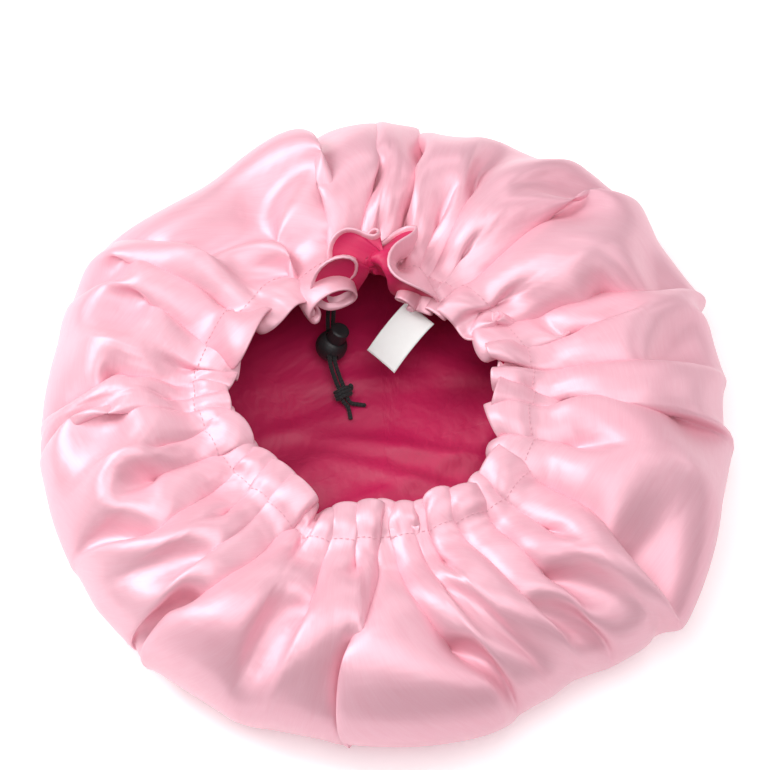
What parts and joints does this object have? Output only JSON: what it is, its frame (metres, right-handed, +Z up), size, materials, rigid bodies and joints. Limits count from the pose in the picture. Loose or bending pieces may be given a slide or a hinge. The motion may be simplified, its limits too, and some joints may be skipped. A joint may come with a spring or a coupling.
{
  "type": "sleep bonnet",
  "caption": "Round reversible satin sleep bonnet lying crown down, with a gathered drawstring mouth, a cord lock with knotted cord ends and a sewn-in blank label.",
  "frame": {"origin": "on the surface that the crown lies on, under the middle of the bonnet's footprint", "axes": "+Z up through the gathered mouth, -Y the near side, +Y the far side where the cord lock and the label hang inside the mouth"},
  "size_m": [0.3835, 0.3955, 0.0863],
  "materials": {
    "pink_satin": "glossy pink satin",
    "maroon_satin": "maroon satin with a soft sheen",
    "black_cord": "braided round cord",
    "black_plastic": "fine matte moulding",
    "white_tape": "smooth woven label tape"
  },
  "bodies": {
    "bonnet": {"outer_satin": "pink_satin", "lining": "maroon_satin", "drawstring": "black_cord", "cord_end_left": "black_cord", "cord_end_right": "black_cord", "cord_knot": "black_cord", "lock_barrel": "black_plastic", "label": "white_tape"},
    "lock_button": {"lock_button": "black_plastic"}
  },
  "joints": [
    {"name": "lock_press", "type": "slide", "parent": "bonnet", "child": "lock_button", "axis": [-0.3499, -0.15, -0.9247], "range_m": [0, 0.003], "stiffness_N_per_m": 200, "springref_m": -0.004}
  ]
}
